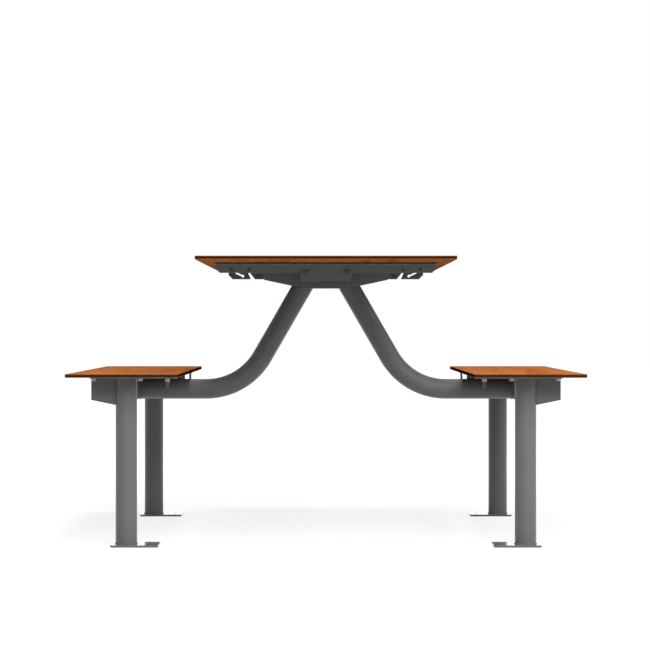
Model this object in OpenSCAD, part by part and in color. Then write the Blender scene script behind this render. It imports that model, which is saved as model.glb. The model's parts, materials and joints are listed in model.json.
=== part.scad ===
// Rectangular table with two attached benches, for outdoor or canteen use.
// Millimetres. X runs across the table, Y along it, Z up from the floor.
// The origin lies on the floor under the middle of the table.

/* [Table board] */
// Length of the table board
table_len = 1800; // [1500:10:2400]
// Width of the table board
table_w = 700; // [640:10:900]
// Height of the table's upper face above the floor
table_z = 800; // [740:5:860]
// Thickness of the table board
table_t = 10; // [9:1:20]

/* [Seat boards] */
// Length of each seat board
seat_len = 1400; // [1260:10:2000]
// Width of each seat board
seat_w = 310; // [290:5:380]
// Height of the seat's upper face above the floor
seat_z = 480; // [440:5:520]
// Thickness of each seat board
seat_t = 10; // [9:1:20]
// Distance from the table's centre line to a seat's inner edge
seat_in_x = 407; // [390:1:412]

/* [Board edges] */
// Radius of the boards' corners
board_corner_r = 6; // [2:1:12]
// Chamfer along the boards' edges
board_chamfer = 1; // [0.5:0.1:2]

/* [Curved tubes] */
// Outer diameter of the curved tubes
tube_d = 60; // [50:1:66]
// Wall of the curved tubes
tube_wall = 3; // [2:0.5:5]
// Bend radius at the tube's centre line
bend_r = 195; // [150:5:220]
// Distance from the centre line to the point where the run and the leg of a tube would meet
knee_x = 247.5; // [235:0.5:260]
// Distance from the seat plates down to the centre line of the tube's level run
run_drop = 43; // [36:1:50]
// Gap between the heads of the two tubes
head_gap = 6.4; // [3:0.2:16]

/* [Posts] */
// Outer diameter of a post
post_d = 60; // [50:1:70]
// Wall of a post
post_wall = 3; // [2:0.5:5]
// Distance from the seat's inner edge to a post's axis
post_in = 149; // [140:1:156]
// Distance from the seat's end to a post's axis
post_inset = 115; // [60:5:160]

/* [Base plates] */
// Thickness of a base plate
base_t = 6; // [4:0.5:12]
// Width of a base plate along the table
base_w = 124; // [112:1:150]
// Radius of a base plate's corners
base_r = 10; // [3:1:20]
// Distance from the post's axis to the base plate's outer end
base_out = 41; // [38:1:60]
// Distance from the post's axis to the base plate's inner end
base_in = 92; // [85:1:130]
// Diameter of the anchor holes
anchor_d = 13; // [9:1:18]
// Distance from the base plate's inner end to the centres of its anchor holes
anchor_inset = 24; // [18:1:30]
// Distance between the two anchor holes of a base plate
anchor_gap = 76; // [40:1:84]

/* [Seat plates] */
// Thickness of the plates under the seats
plate_t = 4; // [3:0.5:8]
// Length of a seat plate across the seat
plate_len = 240; // [225:5:280]
// Width of a seat plate along the seat
plate_w = 82; // [74:1:120]
// Distance from the seat's inner edge to the plate's inner end
plate_inset = 9; // [4:1:20]
// Radius of a seat plate's corners
plate_r = 6; // [2:1:15]
// Thickness of the web between a middle seat plate and its tube
saddle_t = 6; // [4:1:10]

/* [Seat rails] */
// Sheet thickness of a seat rail
rail_t = 3; // [2:0.5:5]
// Width of a seat rail over its two webs
rail_w = 94; // [90:1:110]
// Depth of the rail's inner web below the seat plates
rail_h = 74; // [72:1:90]
// Depth of the rail's outer web below the seat plates
rail_out_h = 60; // [50:1:66]
// Width of the level part of the rail's bottom
rail_flat = 26; // [10:1:40]
// Distance from the post's axis to the outer face of the rail's inner web
rail_off = 4; // [0:1:10]
// Thickness of the wing that closes a rail beside its post
wing_t = 4; // [3:0.5:6]

/* [Arms and top strip] */
// Thickness of an arm plate
arm_t = 6; // [4:0.5:8]
// Depth of an arm below the table board at the middle
arm_h = 65; // [60:1:75]
// Depth of an arm at its outer end
arm_tip_h = 38.8; // [30:0.2:46]
// Length of an arm and of the strip, from end to end
arm_len = 374; // [340:2:440]
// Half of the level bottom edge of an arm
arm_flat = 64; // [40:1:80]
// Thickness of the strip that lies on the arms and tube heads
strip_t = 4; // [3:0.5:6]

/* [Cross-members] */
// Distance from the table board's end to the outer face of a cross-member's web
cross_inset = 388; // [300:2:420]
// Sheet thickness of a cross-member
cross_t = 4; // [3:0.5:6]
// Distance from the table board's edge to a cross-member's end
cross_edge = 38; // [30:1:60]
// Depth of the cross-member's web below the table board
cross_h = 28.4; // [26:0.2:36]
// Chamfer at the web's lower ends
cross_cham = 13.4; // [6:0.2:16]
// Width of the top flange, measured from the web's outer face
cross_flange = 52; // [44:1:60]
// Depth of the middle tab below the table board
tab_h = 52; // [48:1:60]
// Width of the middle tab
tab_w = 146; // [144:1:170]
// Radius of the middle tab's lower corners
tab_r = 12; // [4:1:16]
// Distance from the web's end to the outer one of its two small holes
web_hole_in = 46; // [30:1:60]
// Distance between those two small holes
web_hole_dx = 49; // [30:1:60]
// Height of the small holes above the web's lower edge
web_hole_up = 10; // [7:0.2:14]
// Diameter of the small holes near the web's ends
web_hole_d = 8.5; // [4:0.5:10]
// Width of the slot that makes the rear web's outer hole a keyhole
key_w = 5; // [3:0.5:7]
// Distance from the keyhole's round end to its narrow end
key_len = 24.5; // [18:0.5:27]
// Rise of that slot towards the web's end
key_slope = 25; // [15:1:28]
// Distance from the web's end to the upper end of the slanted notch in the rear web
notch_in = 65.5; // [60:0.5:72]
// Distance from the table board down to the notch's round upper end
notch_drop = 8; // [7:0.5:12]
// Width of the notch at its upper end
notch_top_w = 5.4; // [3:0.2:7]
// Width of the notch at the web's lower edge
notch_low_w = 13; // [7:0.5:16]
// Distance by which the notch's lower end lies nearer to the middle than its upper end
notch_run = 12.5; // [6:0.5:16]

/* [Beams] */
// Sheet thickness of a beam
beam_t = 3; // [2:0.5:4]
// Width of a beam
beam_w = 140; // [130:1:142]
// Height of a beam
beam_h = 50; // [44:1:56]
// Width of the lips at the beam's open bottom
beam_lip = 12; // [8:1:18]
// Inner radius of the beam's folds
beam_fold = 2; // [1:0.5:4]
// Width of each folded tab at the cross-member's end of a beam
beam_tab = 24; // [22:1:30]
// Width of the tab at the arm's end of a beam
beam_end_tab = 40; // [30:1:60]

/* [Fasteners] */
// Thread diameter of the screws in the table board
screw_d = 6; // [5:1:6]
// Head diameter of the screws in the table board
screw_head_d = 11; // [9:0.5:12]
// Head height of the screws in the table board
screw_head_h = 3.3; // [2.5:0.1:5]
// Thread diameter of the bolts
bolt_d = 8; // [6:1:8]
// Width across flats of the hexagon heads and nuts
hex_w = 13; // [10:1:13]
// Height of a hexagon head
hex_h = 5.3; // [4:0.1:6]
// Height of a nut
nut_h = 6.8; // [5:0.1:8]
// Thickness of the washers
washer_t = 1.6; // [1:0.1:2]
// Width of a washer's rim beyond the bolt
washer_rim = 4; // [3:0.5:5]
// Clearance between a bolt or screw and its hole
hole_clear = 0.5; // [0.3:0.1:1]
// Clearance between a thread and the insert or nut round it
thread_clear = 0.15; // [0.1:0.05:0.3]
// Wall of the threaded inserts in the boards
insert_wall = 2; // [1.5:0.5:3]
// Board thickness left above an insert
insert_cover = 2.5; // [2:0.5:4]
// Length of stud that stands out below a seat plate
stud_drop = 26; // [20:1:30]
// Distance from the seat plate's inner end to its stud
stud_inset = 24; // [18:1:30]
// Distance from the seat plate's outer end to its outer bolt
bolt_out_inset = 11.5; // [11:0.5:14]
// Distance from the post's face to the inner bolt
bolt_post_gap = 10; // [9:0.5:16]
// Distance from the post's axis to the line of the end seat plate's bolts, along the seat
end_bolt_out = 24; // [18:1:28]
// Distance from the tube's axis to the bolts of a middle seat plate
mid_bolt_y = 28; // [24:1:30]
// Distance between the two bolts in line of a middle seat plate
mid_bolt_dx = 92; // [60:2:100]
// Distance from a cross-member's end to its outer board screws
cross_screw_end = 62; // [30:1:100]
// Distance from the centre line to a cross-member's inner board screws
cross_screw_mid = 90; // [40:1:140]
// Distance from the flange's outer edge to the board screws of a cross-member
cross_screw_in = 24; // [14:1:30]
// Distance from a beam's ends to its board screws
beam_screw_in = 110; // [40:1:140]
// Distance from an arm's end to the strip's outer board screws
strip_screw_in = 15; // [10:1:22]
// Distance between the two board screws of the strip on one side
strip_screw_dx = 56; // [40:1:60]
// Distance from the beam's outer face to the bolts between it and a cross-member
tab_bolt_in = 12; // [11:0.5:14]
// Distance from the table board down to the bolts between cross-member and beam
tab_bolt_drop = 26; // [22:0.5:30]
// Distances from the table board down to the bolts between beam and arm
arm_bolt_drop = [18, 38]; // [16:1:42]

/* [Hidden] */
$fn = 64;
// Gap left for a weld between a plate and a round tube
weld_gap = 0.2;
// Extra length of a cutting solid beyond the face that it cuts
over = 1;
// Step in radius where a tube's straight lengths meet its bend
bend_step = 0.1;

board_z = table_z - table_t;
strip_z = board_z - strip_t;
seat_under = seat_z - seat_t;
plate_z = seat_under - plate_t;
seat_mid_x = seat_in_x + seat_w / 2;
plate_in_x = seat_in_x + plate_inset;
plate_out_x = plate_in_x + plate_len;
post_x = seat_in_x + post_in;
post_y = seat_len / 2 - post_inset;
rail_x = post_x + rail_off;
rail_end = post_y - wing_t / 2;
run_z = plate_z - run_drop;

// The lean of a tube's leg, found from the line that is one radius from the knee
// and passes the gap between the two heads at the underside of the strip.
lean_across = knee_x - head_gap / 2;
lean_up = strip_z - run_z;
lean = acos(tube_d / 2 / norm([lean_across, lean_up])) - atan2(lean_up, lean_across);
turn = 90 - lean;
bend_x = knee_x + bend_r * tan(turn / 2);
bend_end_x = bend_x - bend_r * cos(lean);
bend_end_z = run_z + bend_r * (1 - sin(lean));

arm_face = tube_d / 2 + weld_gap + arm_t;
arm_tip_x = arm_len / 2;
arm_tip_z = board_z - arm_tip_h;
cross_y = table_len / 2 - cross_inset;
cross_in = cross_y - cross_t;
cross_len = table_w - 2 * cross_edge;
hole_d = bolt_d + 2 * hole_clear;
screw_hole_d = screw_d + 2 * hole_clear;
bolt_insert_d = bolt_d + 2 * thread_clear + 2 * insert_wall;
screw_insert_d = screw_d + 2 * thread_clear + 2 * insert_wall;
anchor_x = post_x - base_in + anchor_inset;
inner_bolt_x = post_x - post_d / 2 - bolt_post_gap;
outer_bolt_x = plate_out_x - bolt_out_inset;
stud_x = plate_in_x + stud_inset;
cross_screw_y = cross_y + cross_flange - cross_screw_in;
cross_screw_x = [cross_screw_mid, cross_len / 2 - cross_screw_end];
beam_screw_y = [arm_face + beam_screw_in, cross_in - beam_screw_in];
strip_screw_x = [arm_tip_x - strip_screw_in - strip_screw_dx, arm_tip_x - strip_screw_in];
tab_bolt_x = beam_w / 2 - tab_bolt_in;
tab_bolt_z = board_z - tab_bolt_drop;
web_hole_x = [cross_len / 2 - web_hole_in, cross_len / 2 - web_hole_in - web_hole_dx];
web_hole_z = board_z - cross_h + web_hole_up;
notch_x = cross_len / 2 - notch_in;

// Places of the screws that hold the table board, seen from above
table_screw_at = concat(
    [for (x = cross_screw_x, sx = [-1, 1], sy = [-1, 1]) [sx * x, sy * cross_screw_y]],
    [for (y = beam_screw_y, sy = [-1, 1]) [0, sy * y]],
    [for (x = strip_screw_x, sx = [-1, 1]) [sx * x, 0]]
);
// Sheet thickness under the table board at each of those screws, in the same order
table_screw_under = concat(
    [for (x = cross_screw_x, sx = [-1, 1], sy = [-1, 1]) cross_t],
    [for (y = beam_screw_y, sy = [-1, 1]) beam_t],
    [for (x = strip_screw_x, sx = [-1, 1]) strip_t]
);
// Places of the bolts and studs of one seat, on the side of positive X
end_bolt_y = post_y + end_bolt_out;
end_bolt_at = [for (x = [inner_bolt_x, outer_bolt_x], sy = [-1, 1]) [x, sy * end_bolt_y]];
mid_bolt_at = [for (x = [stud_x, stud_x + mid_bolt_dx], sy = [-1, 1]) [x, sy * mid_bolt_y]];
seat_stud_at = [for (sy = [-1, 1]) [stud_x, sy * end_bolt_y]];
seat_bolt_at = concat(end_bolt_at, mid_bolt_at);

// Flips what is drawn for the right and rear to the side given by -1 or 1
module on_side(sx, sy) {
    mirror([sx < 0 ? 1 : 0, 0, 0])
        mirror([0, sy < 0 ? 1 : 0, 0])
            children();
}

// A rectangle from one corner to the other with round corners
module round_rect(x0, y0, x1, y1, r) {
    translate([x0 + r, y0])
        square([x1 - x0 - 2 * r, y1 - y0]);
    translate([x0, y0 + r])
        square([x1 - x0, y1 - y0 - 2 * r]);
    for (x = [x0 + r, x1 - r], y = [y0 + r, y1 - r])
        translate([x, y])
            circle(r = r);
}

// Turns an outline drawn in X and Z into a plate that reaches from y0 to y0 + t
module upright_plate(y0, t) {
    translate([0, y0 + t, 0])
        rotate([90, 0, 0])
            linear_extrude(height = t)
                children();
}

// A board with chamfered long edges and round corners, lying on z = 0
module board(x_size, y_size, t) {
    c = board_chamfer;
    intersection() {
        linear_extrude(height = t)
            round_rect(-x_size / 2, -y_size / 2, x_size / 2, y_size / 2, board_corner_r);
        translate([0, y_size / 2 + over, 0])
            rotate([90, 0, 0])
                linear_extrude(height = y_size + 2 * over)
                    board_section(x_size, t, c);
        translate([-x_size / 2 - over, 0, 0])
            rotate([90, 0, 90])
                linear_extrude(height = x_size + 2 * over)
                    board_section(y_size, t, c);
    }
}

module board_section(size, t, c) {
    polygon([
        [-size / 2 + c, 0], [size / 2 - c, 0], [size / 2, c], [size / 2, t - c],
        [size / 2 - c, t], [-size / 2 + c, t], [-size / 2, t - c], [-size / 2, c]
    ]);
}

// A hexagon prism across flats, with one pair of flats square to Y
module hexagon(flats, h) {
    rotate([0, 0, 30])
        cylinder(d = flats / cos(30), h = h, $fn = 6);
}

module ring(outer_d, bore_d, h) {
    difference() {
        cylinder(d = outer_d, h = h);
        translate([0, 0, -over])
            cylinder(d = bore_d, h = h + 2 * over);
    }
}

module table_board() {
    color("chocolate")
        difference() {
            translate([0, 0, board_z])
                board(table_w, table_len, table_t);
            for (p = table_screw_at)
                translate([p[0], p[1], board_z - over])
                    cylinder(d = screw_insert_d + 2 * thread_clear, h = table_t - insert_cover + over);
        }
}

module table_board_inserts() {
    color("goldenrod")
        for (p = table_screw_at)
            translate([p[0], p[1], board_z])
                ring(screw_insert_d, screw_d + 2 * thread_clear, table_t - insert_cover - thread_clear);
}

module table_board_screws() {
    color("silver")
        for (i = [0 : len(table_screw_at) - 1]) {
            seat = board_z - table_screw_under[i] - washer_t;
            top = board_z + table_t - insert_cover - 2 * thread_clear - 1;
            translate([table_screw_at[i][0], table_screw_at[i][1], 0])
                button_screw(seat, top);
        }
}

// A screw that points up, with a domed head below z = seat and a hexagon socket in it
module button_screw(seat, top) {
    dome_r = (pow(screw_head_d / 2, 2) + pow(screw_head_h, 2)) / (2 * screw_head_h);
    socket_w = screw_d * 0.65;
    socket_h = screw_head_h * 0.6;
    difference() {
        union() {
            translate([0, 0, seat - over])
                cylinder(d = screw_d, h = top - seat + over);
            intersection() {
                translate([0, 0, seat - screw_head_h + dome_r])
                    sphere(r = dome_r);
                translate([0, 0, seat - screw_head_h])
                    cylinder(d = screw_head_d, h = screw_head_h);
            }
        }
        translate([0, 0, seat - screw_head_h - over])
            hexagon(socket_w, socket_h + over);
    }
}

module table_board_washers() {
    color("gainsboro")
        for (i = [0 : len(table_screw_at) - 1])
            translate([table_screw_at[i][0], table_screw_at[i][1],
                       board_z - table_screw_under[i] - washer_t])
                ring(screw_d + 2 * washer_rim, screw_hole_d, washer_t);
}

// Cross-member, drawn at the rear: a web with a middle tab and a flange that points outward
module cross_member() {
    color("dimgray")
        difference() {
            union() {
                upright_plate(cross_in, cross_t)
                    cross_web();
                translate([-cross_len / 2, cross_in, board_z - cross_t])
                    cube([cross_len, cross_t + cross_flange, cross_t]);
            }
            for (x = cross_screw_x, s = [-1, 1])
                translate([s * x, cross_screw_y, board_z - cross_t - over])
                    cylinder(d = screw_hole_d, h = cross_t + 2 * over);
            for (s = [-1, 1]) {
                across_hole(s * tab_bolt_x, tab_bolt_z, cross_in, cross_t, hole_d);
                for (x = web_hole_x)
                    across_hole(s * x, web_hole_z, cross_in, cross_t, web_hole_d);
            }
        }
}

// The rear cross-member, whose web also has a keyhole slot and a slanted notch near each end
module slotted_cross_member() {
    color("dimgray")
        difference() {
            cross_member();
            for (s = [-1, 1])
                on_side(s, 1)
                    upright_plate(cross_in - over, cross_t + 2 * over)
                        web_slots();
        }
}

module web_slots() {
    low = board_z - cross_h;
    translate([web_hole_x[0], web_hole_z])
        rotate(key_slope) {
            translate([0, -key_w / 2])
                square([key_len, key_w]);
            translate([key_len, 0])
                circle(d = key_w);
        }
    translate([notch_x, board_z - notch_drop])
        circle(d = notch_top_w);
    polygon([
        [notch_x - notch_top_w / 2, board_z - notch_drop], [notch_x + notch_top_w / 2, board_z - notch_drop],
        [notch_x - notch_run + notch_low_w / 2, low], [notch_x - notch_run + notch_low_w / 2, low - over],
        [notch_x - notch_run - notch_low_w / 2, low - over], [notch_x - notch_run - notch_low_w / 2, low]
    ]);
}

// Web of a cross-member, with chamfered ends and a round-cornered tab in the middle
module cross_web() {
    half = cross_len / 2;
    low = board_z - cross_h;
    polygon([
        [-half, board_z], [half, board_z], [half, low + cross_cham],
        [half - cross_cham, low], [-half + cross_cham, low], [-half, low + cross_cham]
    ]);
    round_rect(-tab_w / 2, board_z - tab_h, tab_w / 2, board_z, tab_r);
}

// A hole through an upright plate that reaches from y0 to y0 + t
module across_hole(x, z, y0, t, d) {
    translate([x, y0 - over, z])
        rotate([-90, 0, 0])
            cylinder(d = d, h = t + 2 * over);
}

// Beam at the rear: a channel open below, with lips and folded end tabs
module beam() {
    y0 = arm_face;
    y1 = cross_in;
    low = board_z - beam_h;
    half = beam_w / 2;
    tab_in = beam_t / 2;
    color("dimgray")
        difference() {
            union() {
                upright_plate(y0, y1 - y0)
                    beam_section(half, low);
                // Tabs at the cross-member
                for (s = [-1, 1])
                    translate([s < 0 ? -half + over : half - beam_tab - over, y1 - beam_t, low + tab_in])
                        cube([beam_tab, beam_t, beam_h - 2 * tab_in]);
                // Tab at the arm
                translate([-beam_end_tab / 2, y0, low])
                    cube([beam_end_tab, beam_t, beam_h - over]);
            }
            for (y = beam_screw_y)
                translate([0, y, board_z - beam_t - over])
                    cylinder(d = screw_hole_d, h = beam_t + 2 * over);
            for (s = [-1, 1])
                across_hole(s * tab_bolt_x, tab_bolt_z, y1 - beam_t, beam_t, hole_d);
            for (drop = arm_bolt_drop)
                across_hole(0, board_z - drop, y0, beam_t, hole_d);
        }
}

module beam_section(half, low) {
    difference() {
        round_rect(-half, low, half, low + beam_h, beam_t + beam_fold);
        round_rect(-half + beam_t, low + beam_t, half - beam_t, low + beam_h - beam_t, beam_fold);
        translate([-half + beam_lip, low - over])
            square([2 * (half - beam_lip), beam_t + 2 * over]);
    }
}

// A bolt along +Y: hexagon head before y = face, shank from there to y = tip
module cross_bolt(x, z, face, tip) {
    translate([x, face, z])
        rotate([-90, 0, 0]) {
            translate([0, 0, -over])
                cylinder(d = bolt_d, h = tip - face + over);
            translate([0, 0, -hex_h])
                hexagon(hex_w, hex_h);
        }
}

module cross_nut(x, z, y0) {
    translate([x, y0, z])
        rotate([-90, 0, 0])
            difference() {
                hexagon(hex_w, nut_h);
                translate([0, 0, -over])
                    cylinder(d = bolt_d + 2 * thread_clear, h = nut_h + 2 * over);
            }
}

module cross_member_bolts() {
    color("lightsteelblue")
        for (sy = [-1, 1], s = [-1, 1])
            on_side(1, -sy)
                cross_bolt(s * tab_bolt_x, tab_bolt_z,
                           -cross_y, -cross_in + beam_t + nut_h + 3);
}

module cross_member_nuts() {
    color("lightsteelblue")
        for (sy = [-1, 1], s = [-1, 1])
            on_side(1, -sy)
                cross_nut(s * tab_bolt_x, tab_bolt_z, -cross_in + beam_t);
}

module beam_end_bolts() {
    color("lightsteelblue")
        for (sy = [-1, 1], drop = arm_bolt_drop)
            on_side(1, -sy)
                cross_bolt(0, board_z - drop, -arm_face - beam_t, -arm_face + arm_t + nut_h + 3);
}

module beam_end_nuts() {
    color("lightsteelblue")
        for (sy = [-1, 1], drop = arm_bolt_drop)
            on_side(1, -sy)
                cross_nut(0, board_z - drop, -arm_face + arm_t);
}

// Arm plate at the rear: one wing to each side, welded to the tubes' sides
module arm_plate() {
    color("dimgray")
        difference() {
            upright_plate(arm_face - arm_t, arm_t)
                arm_outline();
            for (drop = arm_bolt_drop)
                across_hole(0, board_z - drop, arm_face - arm_t, arm_t, hole_d);
        }
}

// The lower edge is level in the middle and rises to both ends
module arm_outline() {
    low = board_z - arm_h;
    polygon([
        [-arm_flat, low], [arm_flat, low], [arm_tip_x, arm_tip_z], [arm_tip_x, strip_z],
        [-arm_tip_x, strip_z], [-arm_tip_x, arm_tip_z]
    ]);
}

module arm_top_strip() {
    color("dimgray")
        difference() {
            translate([-arm_tip_x, -arm_face, strip_z])
                cube([arm_len, 2 * arm_face, strip_t]);
            for (x = strip_screw_x, s = [-1, 1])
                translate([s * x, 0, strip_z - over])
                    cylinder(d = screw_hole_d, h = strip_t + 2 * over);
        }
}

// Curved tube at the right: level run from the rail, bend, and leaning leg up to the strip
module curved_tube() {
    color("slategray")
        difference() {
            tube_path(tube_d, 0);
            tube_path(tube_d - 2 * tube_wall, over);
            translate([-tube_d, -tube_d, strip_z])
                cube([4 * tube_d, 2 * tube_d, 3 * tube_d]);
        }
}

// The straight lengths are drawn a hair thinner than the bend and start just inside it
module tube_path(d, extra) {
    straight_d = d - 2 * bend_step;
    translate([bend_x - over, 0, run_z])
        rotate([0, 90, 0])
            cylinder(d = straight_d, h = rail_x - bend_x + over + extra);
    translate([bend_x, 0, run_z + bend_r])
        rotate([90, 0, 0])
            rotate([0, 0, -90 - turn])
                rotate_extrude(angle = turn)
                    translate([bend_r, 0])
                        circle(d = d);
    translate([bend_end_x, 0, bend_end_z])
        rotate([0, -lean, 0])
            translate([0, 0, -over])
                cylinder(d = straight_d, h = (strip_z - bend_end_z) / cos(lean) + tube_d);
}

// Seat board at the right
module seat_board() {
    color("chocolate")
        difference() {
            translate([seat_mid_x, 0, seat_under])
                board(seat_w, seat_len, seat_t);
            for (p = concat(seat_bolt_at, seat_stud_at))
                translate([p[0], p[1], seat_under - over])
                    cylinder(d = bolt_insert_d + 2 * thread_clear, h = seat_t - insert_cover + over);
        }
}

module seat_inserts() {
    color("goldenrod")
        for (sx = [-1, 1], p = concat(seat_bolt_at, seat_stud_at))
            translate([sx * p[0], p[1], seat_under])
                ring(bolt_insert_d, bolt_d + 2 * thread_clear, seat_t - insert_cover - thread_clear);
}

module seat_bolts() {
    low = plate_z - washer_t;
    top = seat_z - insert_cover - 2 * thread_clear - 1;
    color("lightsteelblue")
        for (sx = [-1, 1], p = seat_bolt_at)
            translate([sx * p[0], p[1], 0]) {
                translate([0, 0, low - over])
                    cylinder(d = bolt_d, h = top - low + over);
                translate([0, 0, low - hex_h])
                    hexagon(hex_w, hex_h);
            }
}

module seat_washers() {
    color("gainsboro")
        for (sx = [-1, 1], p = concat(seat_bolt_at, seat_stud_at))
            translate([sx * p[0], p[1], plate_z - washer_t])
                ring(bolt_d + 2 * washer_rim, hole_d, washer_t);
}

module seat_studs() {
    top = seat_z - insert_cover - 2 * thread_clear - 1;
    low = plate_z - stud_drop;
    color("lightsteelblue")
        for (sx = [-1, 1], p = seat_stud_at)
            translate([sx * p[0], p[1], low])
                cylinder(d = bolt_d, h = top - low);
}

module seat_stud_nuts() {
    color("lightsteelblue")
        for (sx = [-1, 1], p = seat_stud_at)
            translate([sx * p[0], p[1], plate_z - washer_t - nut_h])
                difference() {
                    hexagon(hex_w, nut_h);
                    translate([0, 0, -over])
                        cylinder(d = bolt_d + 2 * thread_clear, h = nut_h + 2 * over);
                }
}

// Outline of the rail seen from the end, open at the top where the seat plates lie
module rail_outline(inset) {
    polygon([
        [rail_x + inset, plate_z + (inset > 0 ? over : 0)],
        [rail_x + inset, plate_z - rail_h + inset],
        [rail_x + rail_flat, plate_z - rail_h + inset],
        [rail_x + rail_w - inset, plate_z - rail_out_h + inset],
        [rail_x + rail_w - inset, plate_z + (inset > 0 ? over : 0)]
    ]);
}

// Room for a post at the right, front or rear
module post_room(sy) {
    translate([post_x, sy * post_y, 0])
        cylinder(d = post_d + 2 * weld_gap, h = seat_z);
}

// Seat rail at the right: a folded trough between the posts, coped round them
module seat_rail() {
    color("dimgray")
        difference() {
            upright_plate(-rail_end, 2 * rail_end)
                difference() {
                    rail_outline(0);
                    rail_outline(rail_t);
                }
            for (sy = [-1, 1])
                post_room(sy);
        }
}

// Wing at the rear right: closes the end of the rail and is welded to the post
module rail_wing() {
    color("dimgray")
        difference() {
            upright_plate(rail_end, wing_t)
                rail_outline(0);
            post_room(1);
            translate([rail_x - over, rail_end - over, 0])
                cube([post_x - rail_x + post_d / 2 + over, wing_t + 2 * over, seat_z]);
        }
}

// Seat plate at the right, over the post at the given place along the seat
module seat_plate(y, bolts) {
    color("dimgray")
        difference() {
            translate([0, y, plate_z])
                linear_extrude(height = plate_t)
                    round_rect(plate_in_x, -plate_w / 2, plate_out_x, plate_w / 2, plate_r);
            for (p = bolts)
                translate([p[0], p[1], plate_z - over])
                    cylinder(d = hole_d, h = plate_t + 2 * over);
        }
}

module end_seat_plate() {
    seat_plate(post_y, concat(end_bolt_at, seat_stud_at));
}

module middle_seat_plate() {
    seat_plate(0, mid_bolt_at);
}

// Web at the right that carries the middle seat plate on the tube's level run
module plate_saddle() {
    low = run_z + tube_d / 2;
    color("dimgray")
        translate([plate_in_x + 8, -saddle_t / 2, low])
            cube([rail_x - plate_in_x - 8 - weld_gap, saddle_t, plate_z - low]);
}

// Post at the rear right
module post() {
    color("slategray")
        translate([post_x, post_y, base_t])
            ring(post_d, post_d - 2 * post_wall, plate_z - base_t);
}

// Base plate at the rear right, with two anchor holes on the table's side
module base_plate() {
    color("dimgray")
        difference() {
            linear_extrude(height = base_t)
                round_rect(post_x - base_in, post_y - base_w / 2, post_x + base_out, post_y + base_w / 2, base_r);
            for (s = [-1, 1])
                translate([anchor_x, post_y + s * anchor_gap / 2, -over])
                    cylinder(d = anchor_d, h = base_t + 2 * over);
        }
}

table_board();
table_board_inserts();
table_board_screws();
table_board_washers();
on_side(1, -1) cross_member();  // front_cross_member
on_side(1, 1) slotted_cross_member();  // rear_cross_member
on_side(1, -1) beam();  // front_beam
on_side(1, 1) beam();  // rear_beam
cross_member_bolts();
cross_member_nuts();
beam_end_bolts();
beam_end_nuts();
on_side(1, -1) arm_plate();  // front_arm_plate
on_side(1, 1) arm_plate();  // rear_arm_plate
arm_top_strip();
on_side(-1, 1) curved_tube();  // left_curved_tube
on_side(1, 1) curved_tube();  // right_curved_tube
on_side(-1, 1) seat_board();  // left_seat_board
on_side(1, 1) seat_board();  // right_seat_board
seat_inserts();
seat_bolts();
seat_washers();
seat_studs();
seat_stud_nuts();
on_side(-1, 1) seat_rail();  // left_seat_rail
on_side(1, 1) seat_rail();  // right_seat_rail
on_side(-1, -1) rail_wing();  // front_left_rail_wing
on_side(1, -1) rail_wing();  // front_right_rail_wing
on_side(-1, 1) rail_wing();  // rear_left_rail_wing
on_side(1, 1) rail_wing();  // rear_right_rail_wing
on_side(-1, -1) end_seat_plate();  // front_left_seat_plate
on_side(1, -1) end_seat_plate();  // front_right_seat_plate
on_side(-1, 1) end_seat_plate();  // rear_left_seat_plate
on_side(1, 1) end_seat_plate();  // rear_right_seat_plate
on_side(-1, 1) middle_seat_plate();  // middle_left_seat_plate
on_side(1, 1) middle_seat_plate();  // middle_right_seat_plate
on_side(-1, 1) plate_saddle();  // left_plate_saddle
on_side(1, 1) plate_saddle();  // right_plate_saddle
on_side(-1, -1) post();  // front_left_post
on_side(1, -1) post();  // front_right_post
on_side(-1, 1) post();  // rear_left_post
on_side(1, 1) post();  // rear_right_post
on_side(-1, -1) base_plate();  // front_left_base_plate
on_side(1, -1) base_plate();  // front_right_base_plate
on_side(-1, 1) base_plate();  // rear_left_base_plate
on_side(1, 1) base_plate();  // rear_right_base_plate
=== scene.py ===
import json
import math

import bmesh
import bpy
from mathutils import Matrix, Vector


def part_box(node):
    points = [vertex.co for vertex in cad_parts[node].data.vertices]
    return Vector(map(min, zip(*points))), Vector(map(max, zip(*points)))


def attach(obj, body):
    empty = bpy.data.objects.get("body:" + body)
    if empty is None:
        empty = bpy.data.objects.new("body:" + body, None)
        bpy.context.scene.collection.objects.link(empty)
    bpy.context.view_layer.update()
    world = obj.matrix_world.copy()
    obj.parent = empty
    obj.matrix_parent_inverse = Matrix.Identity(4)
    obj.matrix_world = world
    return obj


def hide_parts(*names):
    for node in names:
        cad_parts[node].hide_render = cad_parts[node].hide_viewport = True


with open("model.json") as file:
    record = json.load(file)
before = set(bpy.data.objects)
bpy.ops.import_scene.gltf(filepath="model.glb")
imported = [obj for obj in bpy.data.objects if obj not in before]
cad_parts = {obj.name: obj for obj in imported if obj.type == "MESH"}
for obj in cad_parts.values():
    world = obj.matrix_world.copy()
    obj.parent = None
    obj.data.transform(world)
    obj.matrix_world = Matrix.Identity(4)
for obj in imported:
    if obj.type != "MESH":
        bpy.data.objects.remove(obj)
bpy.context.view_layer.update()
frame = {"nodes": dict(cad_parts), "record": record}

# Rectangular table with attached benches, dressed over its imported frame.
# Metres. X runs across the table, Y along it, Z up from the floor.

# A millimetre, which is also how far a cutter reaches past what it cuts
MM = 0.001

# Gap by which two corners count as one place
HAIR = 0.00002

# Which way each side and end of the table lies from its middle
SIDES = {"left": -1.0, "right": 1.0}
ENDS = {"front": -1.0, "rear": 1.0}

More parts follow.
